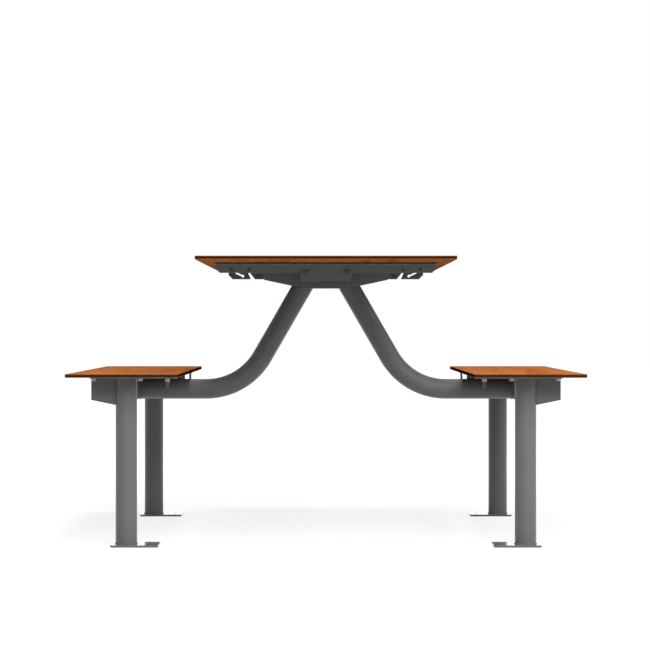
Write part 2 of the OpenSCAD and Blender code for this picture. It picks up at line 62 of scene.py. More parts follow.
# Camera, level and square to the table's end
EYE = (-0.0027, -7.826, 0.615)
SENSOR_W = 36.0
PHOTO_W = 650
FOCAL_PX = 2599.0
LENS = FOCAL_PX * SENSOR_W / PHOTO_W
SIGHT = 100.0

# Floor: its size, how far it lies below the feet, its grey, how far it is shaded, and its own weak light
FLOOR_SIZE = 60.0
FLOOR_DROP = 0.0005
FLOOR_GREY = 0.34
FLOOR_FAR = 3.6
FLOOR_FILL = 0.22

# Broken edges: the smallest angle in degrees that is broken, and the widths
EDGE_ANGLE = 35.0
PLATE_EDGE = 0.0006
SHEET_EDGE = 0.0005
BASE_EDGE = 0.0008
SHADE_DISC_EDGE = 0.0004
WASHER_EDGE = 0.0002

# Boards
BOARD_CORNER_R = 0.006
BOARD_ARRIS = 0.0008
DECOR_T = 0.0026
INSERT_PLAY = 0.00015

# Posts and base plates
POST_WALL = 0.003
BASE_CORNER_R = 0.010
ANCHOR_INSET = 0.024
ANCHOR_GAP = 0.076
ANCHOR_D = 0.013

# Sides of the ring that a post or tube starts from, and of what is coped round a post
RING_SIDES = 72

# Curved tubes
TUBE_WALL = 0.003
BEND_R = 0.195
KNEE_X = 0.2475

# Seat rails, plates and saddles
WELD_GAP = 0.0002
FOLD_R = 0.002
RAIL_T = 0.003
RAIL_FLAT = 0.026
RAIL_OUT_H = 0.060
SEAT_PLATE_R = 0.006
SADDLE_BEAD_IN = 0.004

# Arms and strip
STRIP_T = 0.004
STRIP_R = 0.002
ARM_FLAT = 0.064
ARM_TIP_H = 0.0388
ARM_TIP_R = 0.002
ARM_FOOT_R = 0.006
ARM_SEAM = 0.034

# Cross-members and beams
CROSS_T = 0.004
CROSS_H = 0.0284
CROSS_CHAM = 0.0134
TAB_W = 0.146
TAB_R = 0.012
TAB_ROOT_R = 0.003
WEB_HOLE_IN = 0.046
WEB_HOLE_DX = 0.049
WEB_HOLE_UP = 0.010
WEB_HOLE_D = 0.0085
SHADE_DISC_IN = 0.001
KEY_W = 0.005
KEY_LEN = 0.0245
KEY_SLOPE = math.radians(25.0)
NOTCH_IN = 0.0655
NOTCH_DROP = 0.008
NOTCH_TOP_W = 0.0054
NOTCH_LOW_W = 0.013
NOTCH_RUN = 0.0125
BEAM_T = 0.003
BEAM_LIP = 0.012
BEAM_TAB = 0.024
BEAM_END_TAB = 0.040

# Fasteners
BOLT_D = 0.008
PITCH = 0.00125
THREAD_DEPTH = 0.61 * PITCH
THREAD_LEN = 0.012
THREAD_PLAY = 0.00015
HOLE_PLAY = 0.0005
HEX_W = 0.013
HEX_H = 0.0053
HEX_CHAMFER = 0.0009
HEX_TURN_IN = 0.0002
NUT_H = 0.0068
WASHER_T = 0.0016
WASHER_RIM = 0.004
SCREW_D = 0.006
SCREW_HEAD_D = 0.011
SCREW_HEAD_H = 0.0033
SOCKET_W = 0.0039
SOCKET_FLOOR = 0.4 * SCREW_HEAD_H

# Largest angle in degrees that is shaded smooth, as a rule, on a thread and on a weld bead
CREASE = 32.0
THREAD_CREASE = 20.0
BEAD_CREASE = 60.0

# Weld beads
BEAD_R = 0.0019
BEAD_SINK = 0.0006
RIPPLE_STEP = 0.0016
RIPPLE_DEPTH = 0.00028


# Small tools of the bench

def only(*pieces):
    """Selects these pieces alone and makes the first one active."""
    bpy.ops.object.select_all(action="DESELECT")
    for piece in pieces:
        piece.select_set(True)
    bpy.context.view_layer.objects.active = pieces[0]


def open_up(piece):
    """Enters edit mode on one piece with nothing selected."""
    only(piece)
    bpy.ops.object.mode_set(mode="EDIT")
    bpy.ops.mesh.select_all(action="DESELECT")


def close_up():
    bpy.ops.object.mode_set(mode="OBJECT")


def pick(kind, test):
    """Selects the corners, edges or faces that pass a test, in the piece being edited."""
    bpy.ops.mesh.select_mode(type=kind)
    bpy.ops.mesh.select_all(action="DESELECT")
    mesh = bmesh.from_edit_mesh(bpy.context.object.data)
    for part in {"VERT": mesh.verts, "EDGE": mesh.edges, "FACE": mesh.faces}[kind]:
        if test(part):
            part.select_set(True)
    mesh.select_flush_mode()
    bmesh.update_edit_mesh(bpy.context.object.data)


def turn_out():
    """Points every face outwards, in the piece being edited."""
    bpy.ops.mesh.select_all(action="SELECT")
    bpy.ops.mesh.normals_make_consistent(inside=False)


def middle(part):
    """Middle of an edge or face."""
    return sum((corner.co for corner in part.verts), Vector()) / len(part.verts)


def settle(piece):
    """Moves a piece's place, turn and scale into its mesh."""
    only(piece)
    bpy.ops.object.transform_apply(location=True, rotation=True, scale=True)
    return piece


# Shared surface effects

def new_group(name, inputs, outputs):
    """An empty node group with number inputs and the given outputs."""
    group = bpy.data.node_groups.new(name, "ShaderNodeTree")
    for label, value in inputs:
        socket = group.interface.new_socket(label, in_out="INPUT", socket_type="NodeSocketFloat")
        socket.default_value = value
    for label, kind in outputs:
        group.interface.new_socket(label, in_out="OUTPUT", socket_type=kind)
    group.nodes.new("NodeGroupInput")
    group.nodes.new("NodeGroupOutput")
    return group


def add_node(tree, kind, settings=None, **values):
    """A node with its settings and the values of its inputs."""
    node = tree.nodes.new(kind)
    for name, value in (settings or {}).items():
        setattr(node, name, value)
    for name, value in values.items():
        node.inputs[name.replace("_", " ")].default_value = value
    return node


def wire(tree, start, end):
    tree.links.new(start, end)


def calculate(tree, operation, first, second):
    """A Math node whose inputs are sockets or plain numbers."""
    node = add_node(tree, "ShaderNodeMath", {"operation": operation})
    for socket, value in zip(node.inputs, (first, second)):
        if isinstance(value, (int, float)):
            socket.default_value = value
        else:
            wire(tree, value, socket)
    return node.outputs["Value"]


def ramp(tree, source, stops):
    """A colour ramp fed by a socket. Each stop is a place and a grey or a colour."""
    node = tree.nodes.new("ShaderNodeValToRGB")
    wire(tree, source, node.inputs["Fac"])
    points = node.color_ramp.elements
    while len(points) < len(stops):
        points.new(0.5)
    for point, (place, colour) in zip(points, stops):
        point.position = place
        point.color = (colour, colour, colour, 1) if isinstance(colour, float) else (*colour, 1)
    return node.outputs["Color"]


def piece_place(tree):
    """A point's place on its piece, which patterns follow."""
    return tree.nodes.new("ShaderNodeTexCoord").outputs["Object"]


def drawn_out(tree, place, scale):
    """A place scaled along each axis, so that a pattern on it is drawn out or squeezed."""
    node = add_node(tree, "ShaderNodeMapping", Scale=scale)
    wire(tree, place, node.inputs["Vector"])
    return node.outputs["Vector"]


def noise(tree, place, **values):
    """A noise node with its place and the values of its inputs."""
    node = add_node(tree, "ShaderNodeTexNoise", **values)
    wire(tree, place, node.inputs["Vector"])
    return node


def mottle_group():
    """Slow and fine unevenness, about 0 to 1 with 0.5 as its middle."""
    group = new_group("mottle", [("Slow", 9.0), ("Fine", 160.0)], [("Value", "NodeSocketFloat")])
    start = group.nodes["Group Input"]
    place = piece_place(group)
    slow = noise(group, place, Detail=3.0, Roughness=0.55)
    fine = noise(group, place, Detail=2.0, Roughness=0.6)
    wire(group, start.outputs["Slow"], slow.inputs["Scale"])
    wire(group, start.outputs["Fine"], fine.inputs["Scale"])
    both = calculate(group, "ADD", slow.outputs["Fac"], fine.outputs["Fac"])
    wire(group, calculate(group, "MULTIPLY", both, 0.5), group.nodes["Group Output"].inputs["Value"])
    return group


def scuff_group():
    """Thin stray scratches, 1 on a scratch and 0 elsewhere."""
    group = new_group("scuffs", [("Scale", 30.0), ("Width", 0.012)], [("Mask", "NodeSocketFloat")])
    start = group.nodes["Group Input"]
    place = piece_place(group)
    bend = noise(group, place, Scale=14.0, Detail=1.0)
    shifted = add_node(group, "ShaderNodeVectorMath", {"operation": "MULTIPLY_ADD"})
    wire(group, bend.outputs["Color"], shifted.inputs[0])
    shifted.inputs[1].default_value = (0.05, 0.05, 0.05)
    wire(group, place, shifted.inputs[2])
    cells = add_node(group, "ShaderNodeTexVoronoi", {"feature": "DISTANCE_TO_EDGE"})
    wire(group, shifted.outputs["Vector"], cells.inputs["Vector"])
    wire(group, start.outputs["Scale"], cells.inputs["Scale"])
    thin = calculate(group, "LESS_THAN", cells.outputs["Distance"], start.outputs["Width"])
    patch = noise(group, place, Scale=21.0, Detail=4.0, Roughness=0.7)
    rare = calculate(group, "GREATER_THAN", patch.outputs["Fac"], 0.61)
    wire(group, calculate(group, "MULTIPLY", thin, rare), group.nodes["Group Output"].inputs["Mask"])
    return group


def dust_group():
    """Dust that lies on faces that look up, thicker in patches."""
    group = new_group("dust", [("Amount", 0.5)], [("Mask", "NodeSocketFloat")])
    start = group.nodes["Group Input"]
    up = group.nodes.new("ShaderNodeSeparateXYZ")
    wire(group, group.nodes.new("ShaderNodeNewGeometry").outputs["Normal"], up.inputs["Vector"])
    facing = calculate(group, "POWER", calculate(group, "MAXIMUM", up.outputs["Z"], 0.0), 3.0)
    cloud = noise(group, piece_place(group), Scale=6.0, Detail=6.0, Roughness=0.65)
    mask = calculate(group, "MULTIPLY", facing, cloud.outputs["Fac"])
    wire(group, calculate(group, "MULTIPLY", mask, start.outputs["Amount"]),
         group.nodes["Group Output"].inputs["Mask"])
    return group


MOTTLE = mottle_group()
SCUFFS = scuff_group()
DUST = dust_group()


def effect(tree, group, **values):
    """Places a shared effect in a material with its own values."""
    node = tree.nodes.new("ShaderNodeGroup")
    node.node_tree = group
    for name, value in values.items():
        node.inputs[name].default_value = value
    return node.outputs[0]


def blend_colours(tree, mask, base, over):
    """Mixes two colours, each a socket or a plain colour, by a mask."""
    node = add_node(tree, "ShaderNodeMix", {"data_type": "RGBA"})
    wire(tree, mask, node.inputs[0])
    for socket, colour in ((node.inputs[6], base), (node.inputs[7], over)):
        if isinstance(colour, tuple):
            socket.default_value = (*colour, 1)
        else:
            wire(tree, colour, socket)
    return node.outputs[2]


def new_finish(name):
    """A material with a Principled BSDF, given as material, tree and shader."""
    material = bpy.data.materials.new(name)
    material.use_nodes = True
    tree = material.node_tree
    return material, tree, tree.nodes["Principled BSDF"]


def roughen(tree, shader, height, distance, strength):
    """Bump from a height socket."""
    bump = add_node(tree, "ShaderNodeBump", Distance=distance, Strength=strength)
    wire(tree, height, bump.inputs["Height"])
    wire(tree, bump.outputs["Normal"], shader.inputs["Normal"])


def facing_ramp(tree, stops):
    """A value that depends on how obliquely a face is seen, from 0 square on to 1 edge on."""
    return ramp(tree, add_node(tree, "ShaderNodeLayerWeight", Blend=0.5).outputs["Facing"], stops)


# Finishes

def powder_coat(name, glare, shine=0.3):
    """Anthracite powder coat: orange peel, faint scuffs, dust on upper faces, and a glare seen edge on."""
    material, tree, shader = new_finish(name)
    uneven = effect(tree, MOTTLE, Slow=7.0, Fine=420.0)
    paint = ramp(tree, uneven, [(0.3, (0.106, 0.114, 0.113)), (0.7, (0.130, 0.140, 0.139))])
    scuffs = effect(tree, SCUFFS, Scale=26.0, Width=0.010)
    scuffed = blend_colours(tree, scuffs, paint, (0.18, 0.19, 0.19))
    dusty = blend_colours(tree, effect(tree, DUST, Amount=0.3), scuffed, (0.3, 0.3, 0.29))
    wire(tree, dusty, shader.inputs["Base Color"])
    wire(tree, ramp(tree, uneven, [(0.25, 0.42), (0.75, 0.58)]), shader.inputs["Roughness"])
    shader.inputs["Specular IOR Level"].default_value = shine
    shader.inputs["Coat Roughness"].default_value = 0.12
    gloss = facing_ramp(tree, [(0.1, 0.0), (0.5, 0.35), (0.86, 0.45), (0.90, glare)])
    wire(tree, gloss, shader.inputs["Coat Weight"])
    peel = noise(tree, piece_place(tree), Scale=700.0, Detail=2.0, Roughness=0.5)
    roughen(tree, shader, peel.outputs["Fac"], 0.00005, 0.3)
    return material


def wood_decor():
    """Printed wood face of the compact boards: grain along the board under a satin film."""
    material, tree, shader = new_finish("oak_brown_decor")
    along_board = drawn_out(tree, piece_place(tree), (1.0, 0.075, 1.0))
    sway = noise(tree, along_board, Scale=5.0, Detail=3.0, Roughness=0.5)
    bands = noise(tree, along_board, Scale=26.0, Detail=6.0, Roughness=0.62, Distortion=0.9)
    figure = calculate(tree, "ADD", calculate(tree, "MULTIPLY", sway.outputs["Fac"], 0.4),
                       calculate(tree, "MULTIPLY", bands.outputs["Fac"], 0.6))
    wood = ramp(tree, figure, [(0.32, (0.23, 0.068, 0.016)), (0.47, (0.40, 0.131, 0.034)),
                               (0.60, (0.49, 0.176, 0.050)), (0.76, (0.315, 0.098, 0.025))])
    thread = drawn_out(tree, piece_place(tree), (1.0, 0.02, 1.0))
    pores = noise(tree, thread, Scale=420.0, Detail=2.0, Roughness=0.6)
    pore_mask = ramp(tree, pores.outputs["Fac"], [(0.56, 0.0), (0.68, 0.55)])
    grained = blend_colours(tree, pore_mask, wood, (0.12, 0.04, 0.012))
    worn = blend_colours(tree, effect(tree, SCUFFS, Scale=19.0, Width=0.006), grained, (0.5, 0.26, 0.11))
    wire(tree, worn, shader.inputs["Base Color"])
    wire(tree, ramp(tree, effect(tree, MOTTLE, Slow=5.0, Fine=240.0), [(0.3, 0.5), (0.7, 0.66)]),
         shader.inputs["Roughness"])
    shader.inputs["Specular IOR Level"].default_value = 0.0
    shader.inputs["Coat Roughness"].default_value = 0.32
    wire(tree, facing_ramp(tree, [(0.45, 0.5), (0.85, 0.0)]), shader.inputs["Coat Weight"])
    roughen(tree, shader, pore_mask, 0.0002, 0.4)
    return material


def layered_edge(name, squeeze, grain, dark, light, low, high):
    """Cut edge of a board with the faint lines of its paper layers. low and high bound its roughness."""
    material, tree, shader = new_finish(name)
    layers = drawn_out(tree, piece_place(tree), (1.0, 1.0, squeeze))
    lines = noise(tree, layers, Scale=grain, Detail=3.0, Roughness=0.6)
    wire(tree, ramp(tree, lines.outputs["Fac"], [(0.35, dark), (0.7, light)]), shader.inputs["Base Color"])
    shader.inputs["Specular IOR Level"].default_value = 0.0
    shader.inputs["Coat Roughness"].default_value = 0.3
    wire(tree, facing_ramp(tree, [(0.45, 0.12), (0.85, 0.0)]), shader.inputs["Coat Weight"])
    wire(tree, ramp(tree, effect(tree, MOTTLE, Slow=12.0, Fine=300.0), [(0.3, low), (0.7, high)]),
         shader.inputs["Roughness"])
    roughen(tree, shader, lines.outputs["Fac"], 0.0002, 0.3)
    return material


def painted_shade_finish(name, dark, light):
    """Matt near-black finish for painted shade: the strip on the flanges' free edges and the dark discs in
    the webs' holes.
    """
    material, tree, shader = new_finish(name)
    uneven = effect(tree, MOTTLE, Slow=30.0, Fine=500.0)
    wire(tree, ramp(tree, uneven, [(0.3, dark), (0.7, light)]), shader.inputs["Base Color"])
    wire(tree, ramp(tree, uneven, [(0.3, 0.75), (0.7, 0.9)]), shader.inputs["Roughness"])
    shader.inputs["Specular IOR Level"].default_value = 0.2
    roughen(tree, shader, uneven, 0.0002, 0.3)
    return material


def bright_metal(name, dark, light, low, high, metallic=1.0):
    """Plated or plain metal that is uneven in colour and polish. A matt film makes it less metallic."""
    material, tree, shader = new_finish(name)
    uneven = effect(tree, MOTTLE, Slow=60.0, Fine=700.0)
    wire(tree, ramp(tree, uneven, [(0.3, dark), (0.7, light)]), shader.inputs["Base Color"])
    wire(tree, ramp(tree, uneven, [(0.3, low), (0.7, high)]), shader.inputs["Roughness"])
    shader.inputs["Metallic"].default_value = metallic
    roughen(tree, shader, effect(tree, SCUFFS, Scale=220.0, Width=0.03), 0.0001, 0.3)
    return material


PAINT = powder_coat("anthracite_powder_coat", glare=0.45)
BASE_PAINT = powder_coat("anthracite_base_coat", glare=1.0)
BEAM_PAINT = powder_coat("anthracite_beam_coat", glare=0.0, shine=0.0)
DECOR = wood_decor()
CUT_DECOR = layered_edge("cut_decor_edge", squeeze=40.0, grain=30.0, low=0.5, high=0.68,
                         dark=(0.110, 0.034, 0.010), light=(0.180, 0.058, 0.017))
CORE = layered_edge("dark_resin_core", squeeze=60.0, grain=26.0, low=0.42, high=0.6,
                    dark=(0.009, 0.004, 0.002), light=(0.024, 0.010, 0.004))
# Painted shade: a near-black strip on the flanges' free edges, where the gap under the board is in shade, and
# dark discs in the webs' spare holes, where only shade is seen through them.
SHADE_STRIP = painted_shade_finish("painted_shade_edge_strip", (0.008, 0.009, 0.009), (0.018, 0.020, 0.020))
SHADE_DISC_FINISH = painted_shade_finish("painted_shade_hole_disc", (0.055, 0.060, 0.059), (0.075, 0.081, 0.080))
ZINC = bright_metal("zinc_plating", (0.24, 0.26, 0.295), (0.34, 0.365, 0.405), 0.30, 0.46)
BRASS = bright_metal("turned_brass", (0.55, 0.36, 0.13), (0.76, 0.55, 0.24), 0.22, 0.38)
BLACK_ZINC = bright_metal("black_zinc_plating", (0.045, 0.047, 0.046), (0.070, 0.072, 0.071), 0.5, 0.66,
                          metallic=0.0)
FINISH_OF = {"board_laminate": DECOR, "frame_paint": PAINT, "zinc_plate": ZINC, "black_zinc": BLACK_ZINC,
             "insert_brass": BRASS}


def finish_frame_nodes():
    """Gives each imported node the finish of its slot."""
    for part in frame["record"]["subparts"]:
        node = frame["nodes"][part["node"]]
        node.data.materials.clear()
        node.data.materials.append(FINISH_OF[part["material_slot"]])


# Making up the pieces

def start_box(low, high):
    """A cube primitive that fills the space between two corners, ready for shaping."""
    low, high = Vector(low), Vector(high)
    bpy.ops.object.select_all(action="DESELECT")
    bpy.ops.mesh.primitive_cube_add(size=1.0, location=(low + high) / 2, scale=high - low)
    return settle(bpy.context.object)


def start_rod(base, tip, radius, sides=48):
    """A cylinder primitive from one point to another."""
    base, tip = Vector(base), Vector(tip)
    bpy.ops.object.select_all(action="DESELECT")
    bpy.ops.mesh.primitive_cylinder_add(vertices=sides, radius=radius, depth=(tip - base).length,
                                        location=(base + tip) / 2,
                                        rotation=(tip - base).to_track_quat("Z", "Y").to_euler())
    return settle(bpy.context.object)


def start_ring(centre, radius, tilt=0.0):
    """A ring of corners round a centre, level or tilted about Y."""
    bpy.ops.object.select_all(action="DESELECT")
    bpy.ops.mesh.primitive_circle_add(vertices=RING_SIDES, radius=radius, location=centre,
                                      rotation=(0.0, tilt, 0.0))
    return settle(bpy.context.object)


def start_outline(corners, closed=True):
    """A chain of corners drawn one after another from a single vertex, closed to a face if wanted."""
    corners = [Vector(corner) for corner in corners]
    bpy.ops.object.select_all(action="DESELECT")
    bpy.ops.mesh.primitive_plane_add(size=MM, location=corners[0])
    piece = settle(bpy.context.object)
    bpy.ops.object.mode_set(mode="EDIT")
    bpy.ops.mesh.select_mode(type="VERT")
    bpy.ops.mesh.select_all(action="SELECT")
    bpy.ops.mesh.merge(type="CENTER")
    for here, there in zip(corners, corners[1:]):
        bpy.ops.mesh.extrude_vertices_move(TRANSFORM_OT_translate={"value": there - here})
    if closed:
        bpy.ops.mesh.select_all(action="SELECT")
        bpy.ops.mesh.edge_face_add()
    return piece


def both_sides(half, y):
    """An outline across the table, from the places in X and Z of its right half."""
    return [(x, y, z) for x, z in half] + [(-x, y, z) for x, z in reversed(half)]


def round_corners(corners, radius, steps=5):
    """Rounds the corners of an outline in edit mode that lie at the given points."""
    spots = [Vector(corner) for corner in corners]
    pick("VERT", lambda corner: any((corner.co - spot).length < HAIR for spot in spots))
    bpy.ops.mesh.bevel(offset=radius, segments=steps, affect="VERTICES")


def thicken(move):
    """Extrudes the outline in edit mode to a plate or a sheet."""
    bpy.ops.mesh.select_all(action="SELECT")
    bpy.ops.mesh.extrude_region_move(TRANSFORM_OT_translate={"value": move})
    turn_out()


def face_outwards(piece, place, outward):
    """Turns an open sheet in edit mode so that its face nearest to a place looks outward."""
    turn_out()
    mesh = bmesh.from_edit_mesh(piece.data)
    nearest = min(mesh.faces, key=lambda face: (face.calc_center_median() - place).length)
    if nearest.normal.dot(outward) < 0.0:
        bpy.ops.mesh.select_all(action="SELECT")
        bpy.ops.mesh.flip_normals()


def apply_modifier(piece, kind, **settings):
    """Adds a modifier, sets it and applies it."""
    only(piece)
    modifier = piece.modifiers.new(kind.lower(), kind)
    for name, value in settings.items():
        setattr(modifier, name, value)
    bpy.ops.object.modifier_apply(modifier=modifier.name)
    return piece


def cut(piece, cutter, how="DIFFERENCE"):
    """Cuts one piece with another, which is used up."""
    apply_modifier(piece, "BOOLEAN", operation=how, solver="EXACT", object=cutter)
    bpy.data.objects.remove(cutter, do_unlink=True)
    return piece


def break_edges(piece, width, steps=2):
    """Takes the sharpness off every edge, as sanding and paint do."""
    return apply_modifier(piece, "BEVEL", width=width, segments=steps, limit_method="ANGLE",
                          angle_limit=math.radians(EDGE_ANGLE))


def smooth(piece, angle=CREASE):
    only(piece)
    bpy.ops.object.shade_smooth_by_angle(angle=math.radians(angle))
    return piece


def weld_together(pieces):
    """Joins pieces to one object."""
    only(*pieces)
    bpy.ops.object.join()
    return bpy.context.object


def copy_of(piece):
    """A copy with its own mesh."""
    only(piece)
    bpy.ops.object.duplicate(linked=False)
    return bpy.context.object


def twin(piece, flip):
    """A copy of a piece, flipped about the origin along the axes where flip is -1."""
    copy = copy_of(piece)
    open_up(copy)
    if min(flip) < 0.0:
        bpy.ops.mesh.select_all(action="SELECT")
        bpy.ops.transform.resize(value=flip, center_override=(0.0, 0.0, 0.0))
        turn_out()
    close_up()
    return copy


def corners_of(node):
    low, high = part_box(node)
    return Vector(low), Vector(high)


def solids_of(node):
    """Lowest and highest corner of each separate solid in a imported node."""
    mesh = bmesh.new()
    mesh.from_mesh(frame["nodes"][node].data)
    bmesh.ops.remove_doubles(mesh, verts=mesh.verts, dist=HAIR)
    left = set(mesh.verts)
    solids = []
    while left:
        solid = {left.pop()}
        edge = list(solid)
        while edge:
            corner = edge.pop()
            near = {link.other_vert(corner) for link in corner.link_edges} - solid
            solid |= near
            edge.extend(near)
        left -= solid
        places = [corner.co for corner in solid]
        solids.append((Vector([min(place[i] for place in places) for i in range(3)]),
                       Vector([max(place[i] for place in places) for i in range(3)])))
    mesh.free()
    return sorted(solids, key=lambda solid: tuple(solid[0]))


def round_plate(node, corner_r, steps=6):
    """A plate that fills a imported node's box, with its upright edges rounded."""
    plate = start_box(*corners_of(node))
    open_up(plate)
    pick("EDGE", lambda edge: abs(edge.verts[0].co.z - edge.verts[1].co.z) > HAIR)
    bpy.ops.mesh.bevel(offset=corner_r, segments=steps)
    close_up()
    return plate


def hang(piece, name, slot, node):
    """Finishes a piece: its shading, its name, its material and its place in the frame."""
    apply_modifier(piece, "WEIGHTED_NORMAL", keep_sharp=True)
    piece.name = name
    piece.data.name = name
    if not piece.data.materials:
        piece.data.materials.append(FINISH_OF[slot])
    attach(piece, "root")
    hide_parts(node)


def hang_all_round(original, name, node):
    """Hangs a piece made for the rear right and its flipped copies at the other corners."""
    for end, y in ENDS.items():
        for side, x in SIDES.items():
            corner = end + "_" + side + "_"
            hang(twin(original, (x, y, 1.0)), corner + name, "frame_paint", corner + node)
    bpy.data.objects.remove(original, do_unlink=True)


def hang_pair(original, name, node, ends):
    """Hangs a piece made for the right or the rear and its flipped copy."""
    for end, sign in ends.items():
        flip = (sign, 1.0, 1.0) if ends is SIDES else (1.0, sign, 1.0)
        hang(twin(original, flip), end + "_" + name, "frame_paint", end + "_" + node)
    bpy.data.objects.remove(original, do_unlink=True)


# Weld beads

def ripple(piece, along):
    """Draws in every other ring of a bead. along gives a corner's ring number."""
    open_up(piece)
    pick("VERT", lambda corner: round(along(corner.co)) % 2 == 1)
    bpy.ops.transform.shrink_fatten(value=-RIPPLE_DEPTH)
    close_up()
    return smooth(piece, BEAD_CREASE)


def weld_ring(centre, axis, radius):
    """A rippled bead round a tube's end."""
    centre, axis = Vector(centre), Vector(axis)
    rings = 2 * round(math.pi * radius / RIPPLE_STEP)
    bpy.ops.object.select_all(action="DESELECT")
    bpy.ops.mesh.primitive_torus_add(major_radius=radius, minor_radius=BEAD_R,
                                     major_segments=rings, minor_segments=8)
    bead = ripple(bpy.context.object, lambda place: math.atan2(place.y, place.x) * rings / math.tau)
    bead.rotation_euler = axis.to_track_quat("Z", "Y").to_euler()
    bead.location = centre
    return settle(bead)


def weld_line(start, end):
    """A rippled bead along a straight seam."""
    start, end = Vector(start), Vector(end)
    length = (end - start).length
    rings = round(length / RIPPLE_STEP)
    bead = start_rod((0.0, 0.0, 0.0), (0.0, 0.0, length), BEAD_R, sides=8)
    open_up(bead)
    pick("EDGE", lambda edge: abs(edge.verts[0].co.z - edge.verts[1].co.z) > length / 2)
    bpy.ops.mesh.subdivide(number_cuts=rings - 1)
    close_up()
    bead = ripple(bead, lambda place: place.z * rings / length)
    bead.rotation_euler = (end - start).to_track_quat("Z", "Y").to_euler()
    bead.location = start
    return settle(bead)


# Boards

def compact_board(node, name, inserts):
    """A compact laminate board: round corners, broken edges, and the dark core between its two faces."""
    low, high = corners_of(node)
    board = round_plate(node, BOARD_CORNER_R)
    open_up(board)
    pick("EDGE", lambda edge: len({round(face.normal.z) for face in edge.link_faces}) == 2)
    bpy.ops.mesh.bevel(offset=BOARD_ARRIS, segments=3)
    for z in (low.z + DECOR_T, high.z - DECOR_T):
        bpy.ops.mesh.select_all(action="SELECT")
        bpy.ops.mesh.bisect(plane_co=(0.0, 0.0, z), plane_no=(0.0, 0.0, 1.0))
    for finish in (DECOR, CUT_DECOR, CORE):
        board.data.materials.append(finish)
    for index, band in ((1, 0.0), (2, DECOR_T)):
        pick("FACE", lambda face: abs(face.normal.z) < 0.5 and low.z + band < middle(face).z < high.z - band)
        board.active_material_index = index
        bpy.ops.object.material_slot_assign()
    close_up()
    holes = [(a, b) for a, b in solids_of(inserts) if low.x < a.x and b.x < high.x]
    drills = [start_rod(((a.x + b.x) / 2, (a.y + b.y) / 2, a.z - MM),
                        ((a.x + b.x) / 2, (a.y + b.y) / 2, b.z + INSERT_PLAY),
                        (b.x - a.x) / 2 + INSERT_PLAY, sides=24) for a, b in holes]
    cut(board, weld_together(drills))
    hang(smooth(board), name, "board_laminate", node)


# Posts, base plates and tubes

def post(node, name):
    """A post with its weld beads at foot and head."""
    low, high = corners_of(node)
    x, y = (low.x + high.x) / 2, (low.y + high.y) / 2
    radius = (high.x - low.x) / 2
    tube = start_ring((x, y, low.z), radius)
    open_up(tube)
    thicken((0.0, 0.0, high.z - low.z))
    close_up()
    apply_modifier(tube, "SOLIDIFY", thickness=POST_WALL, offset=-1.0)
    smooth(tube)
    foot = weld_ring((x, y, low.z + BEAD_SINK), (0, 0, 1), radius + BEAD_SINK)
    head = weld_ring((x, y, high.z - BEAD_SINK), (0, 0, 1), radius + BEAD_SINK)
    hang(weld_together([tube, foot, head]), name, "frame_paint", node)


def base_plate(node, name, post_node):
    """A flat foot with round corners and two anchor holes on the table's side."""
    low, high = corners_of(node)
    post_low, post_high = corners_of(post_node)
    plate = round_plate(node, BASE_CORNER_R, steps=8)
    inner_x = high.x - ANCHOR_INSET if low.x < 0.0 else low.x + ANCHOR_INSET
    mid_y = (post_low.y + post_high.y) / 2
    for y in (mid_y - ANCHOR_GAP / 2, mid_y + ANCHOR_GAP / 2):
        cut(plate, start_rod((inner_x, y, -MM), (inner_x, y, high.z + MM), ANCHOR_D / 2))
    plate.data.materials.clear()
    plate.data.materials.append(BASE_PAINT)
    hang(smooth(break_edges(plate, BASE_EDGE)), name, "frame_paint", node)


def tube_course():
    """Where the right tube's centre line runs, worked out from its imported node."""
    low, high = corners_of("right_curved_tube")
    radius = (high.y - low.y) / 2
    run_z = low.z + radius
    across = KNEE_X - low.x
    up = high.z - run_z
    lean = math.acos(radius / math.hypot(across, up)) - math.atan2(up, across)
    turn = math.pi / 2 - lean
    return {"radius": radius, "run_z": run_z, "rail_x": high.x, "top_z": high.z, "lean": lean, "turn": turn,
            "bend_x": KNEE_X + BEND_R * math.tan(turn / 2), "foot_x": low.x + radius / math.cos(lean)}


def bent_tube():
    """The right curved tube, worked up from a ring at the rail: run, bend and leaning leg."""
    way = tube_course()
    leg = Vector((-math.sin(way["lean"]), 0.0, math.cos(way["lean"]))) * way["top_z"]
    tube = start_ring((way["rail_x"], 0.0, way["run_z"]), way["radius"], math.pi / 2)
    open_up(tube)
    pick("EDGE", lambda edge: True)
    run = (way["bend_x"] - way["rail_x"], 0.0, 0.0)
    bpy.ops.mesh.extrude_edges_move(TRANSFORM_OT_translate={"value": run})
    bpy.ops.mesh.spin(steps=28, angle=way["turn"], center=(way["bend_x"], 0.0, way["run_z"] + BEND_R),
                      axis=(0.0, -1.0, 0.0))
    bpy.ops.mesh.extrude_edges_move(TRANSFORM_OT_translate={"value": leg})
    bpy.ops.mesh.select_all(action="SELECT")
    bpy.ops.mesh.remove_doubles(threshold=HAIR)
    bpy.ops.mesh.bisect(plane_co=(0.0, 0.0, way["top_z"]), plane_no=(0.0, 0.0, 1.0), clear_outer=True)
    turn_out()
    close_up()
    apply_modifier(tube, "SOLIDIFY", thickness=TUBE_WALL, offset=-1.0)
    smooth(tube)
    bead = weld_ring((way["rail_x"] - BEAD_SINK, 0.0, way["run_z"]), (1, 0, 0), way["radius"] + BEAD_SINK)
    return weld_together([tube, bead])


def bent_tubes():
    right = bent_tube()
    left = twin(right, (-1.0, 1.0, 1.0))
    hang(right, "right_bent_tube", "frame_paint", "right_curved_tube")
    hang(left, "left_bent_tube", "frame_paint", "left_curved_tube")


# Seat rails and what lies on them

